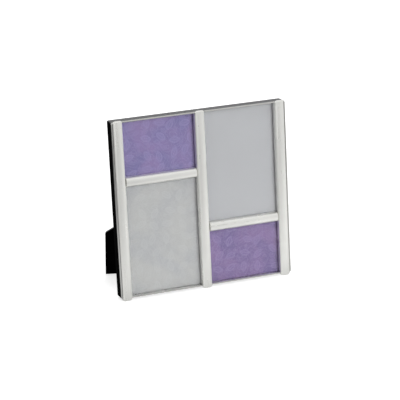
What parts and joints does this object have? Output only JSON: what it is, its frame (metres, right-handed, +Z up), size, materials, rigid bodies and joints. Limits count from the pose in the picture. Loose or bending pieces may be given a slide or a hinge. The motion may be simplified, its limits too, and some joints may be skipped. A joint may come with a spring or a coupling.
{
  "type": "multi-window photo frame",
  "caption": "Square photo frame with crowned silver bars parting its glass into tall and short windows, a black velvet casing, turn buttons at the back and a diagonal easel leg that folds flat",
  "frame": {"origin": "on the table, under the middle of the standing frame's box", "axes": "+X to the right as seen from the front, +Y to the back where the easel leg is, +Z up; the frame leans back about X"},
  "size_m": [0.203, 0.0804, 0.2015],
  "materials": {
    "satin_silver": "satin silver plate on pressed steel",
    "polished_silver": "bright silver plate",
    "black_velvet": "short black pile on board or sheet",
    "clear_glass": "clear float glass",
    "lilac_card": "matt printed card",
    "grey_card": "matt printed card",
    "packing_board": "grey board",
    "black_steel": "black enamel",
    "bright_steel": "nickel plate"
  },
  "bodies": {
    "frame": {"casing": "black_velvet", "rim_frame": "polished_silver", "left_bar": "satin_silver", "centre_bar": "satin_silver", "right_bar": "satin_silver", "upper_crossbar": "satin_silver", "lower_crossbar": "satin_silver", "glass_pane": "clear_glass", "card_upper_left": "lilac_card", "card_lower_left": "grey_card", "card_upper_right": "grey_card", "card_lower_right": "lilac_card", "packing_card": "packing_board", "back_panel": "black_velvet", "button_screw_top": "bright_steel", "button_screw_bottom": "bright_steel", "button_screw_left": "bright_steel", "button_screw_right": "bright_steel", "hinge_fixed_leaf": "black_steel", "hinge_pin": "bright_steel", "panel_rivet_1": "bright_steel", "panel_rivet_2": "bright_steel"},
    "easel_leg": {"easel_leg": "black_velvet", "hinge_moving_leaf": "black_steel", "leg_rivet_1": "bright_steel", "leg_rivet_2": "bright_steel"},
    "turn_button_top": {"turn_button_top": "bright_steel"},
    "turn_button_bottom": {"turn_button_bottom": "bright_steel"},
    "turn_button_left": {"turn_button_left": "bright_steel"},
    "turn_button_right": {"turn_button_right": "bright_steel"}
  },
  "joints": [
    {"name": "easel_leg_hinge", "type": "hinge", "parent": "frame", "child": "easel_leg", "pos_m": [0.01612, -0.00842, 0.11778], "axis": [0.7071, -0.0935, -0.7009], "range_deg": [-21.36, 0]},
    {"name": "turn_button_top_pivot", "type": "hinge", "parent": "frame", "child": "turn_button_top", "pos_m": [0, -0.00159, 0.18787], "axis": [0, 0.9912, -0.1323], "range_deg": [-90, 90]},
    {"name": "turn_button_bottom_pivot", "type": "hinge", "parent": "frame", "child": "turn_button_bottom", "pos_m": [0, -0.025, 0.01242], "axis": [0, 0.9912, -0.1323], "range_deg": [-90, 90]},
    {"name": "turn_button_left_pivot", "type": "hinge", "parent": "frame", "child": "turn_button_left", "pos_m": [-0.0905, -0.0133, 0.10014], "axis": [0, 0.9912, -0.1323], "range_deg": [-90, 90]},
    {"name": "turn_button_right_pivot", "type": "hinge", "parent": "frame", "child": "turn_button_right", "pos_m": [0.0905, -0.0133, 0.10014], "axis": [0, 0.9912, -0.1323], "range_deg": [-90, 90]}
  ]
}
